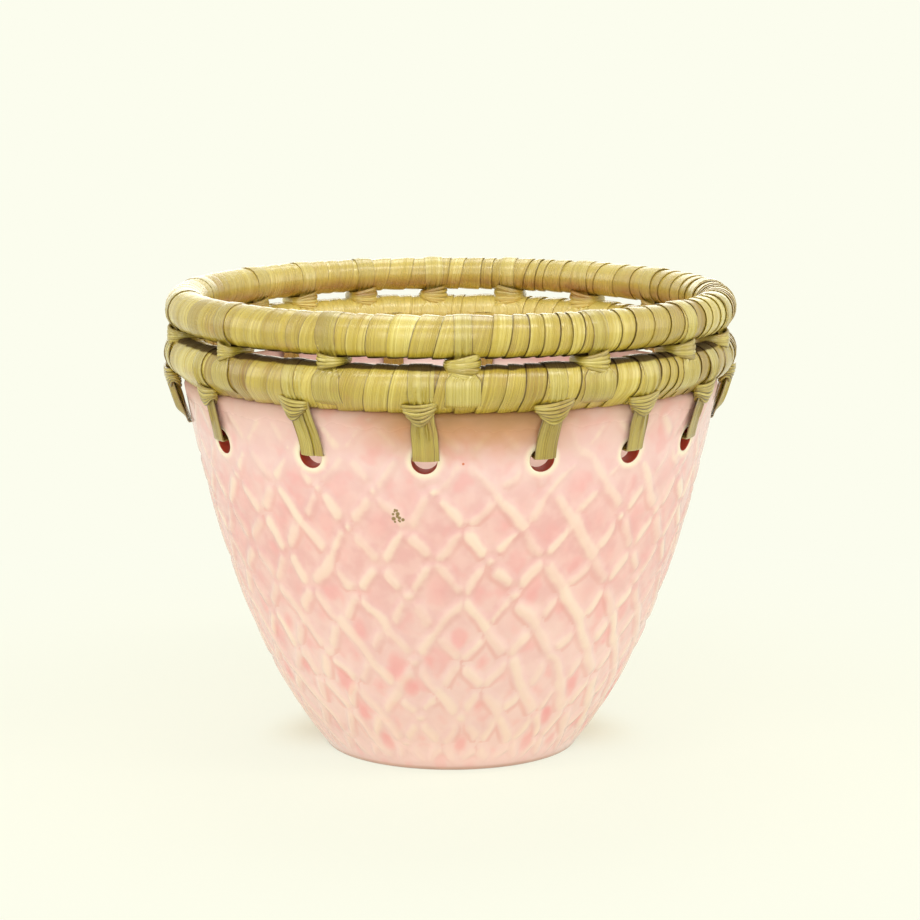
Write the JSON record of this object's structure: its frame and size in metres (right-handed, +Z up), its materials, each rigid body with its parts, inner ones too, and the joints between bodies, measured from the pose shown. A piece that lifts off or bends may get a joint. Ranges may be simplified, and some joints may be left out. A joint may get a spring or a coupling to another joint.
{
  "type": "planter pot",
  "caption": "Tapered glazed pot with a woven diamond relief, and two palm-wrapped hoops lashed to its pierced rim.",
  "frame": {"origin": "middle of the foot, on the surface that the pot stands on", "axes": "+Z up along the pot's axis, -Y is the front, +X to the right seen from the front"},
  "size_m": [0.1545, 0.1548, 0.1252],
  "materials": {
    "glaze": "glossy pink glaze, paler on the crests",
    "cane": "matt cane",
    "palm_strip": "satin palm leaf strip",
    "palm_tie": "satin palm leaf strip, darker"
  },
  "bodies": {
    "root": {"pot_body": "glaze", "lower_hoop_core": "cane", "lower_hoop_winding": "palm_strip", "upper_hoop_core": "cane", "upper_hoop_winding": "palm_strip", "hoop_tie_01": "palm_tie", "hoop_tie_02": "palm_tie", "hoop_tie_03": "palm_tie", "hoop_tie_04": "palm_tie", "hoop_tie_05": "palm_tie", "hoop_tie_06": "palm_tie", "hoop_tie_07": "palm_tie", "hoop_tie_08": "palm_tie", "hoop_tie_09": "palm_tie", "hoop_tie_10": "palm_tie", "hoop_tie_11": "palm_tie", "hoop_tie_12": "palm_tie", "hoop_tie_13": "palm_tie", "hoop_tie_14": "palm_tie", "hoop_tie_15": "palm_tie", "hoop_tie_16": "palm_tie", "lashing_01": "palm_tie", "lashing_02": "palm_tie", "lashing_03": "palm_tie", "lashing_04": "palm_tie", "lashing_05": "palm_tie", "lashing_06": "palm_tie", "lashing_07": "palm_tie", "lashing_08": "palm_tie", "lashing_09": "palm_tie", "lashing_10": "palm_tie", "lashing_11": "palm_tie", "lashing_12": "palm_tie", "lashing_13": "palm_tie", "lashing_14": "palm_tie"}
  },
  "joints": []
}
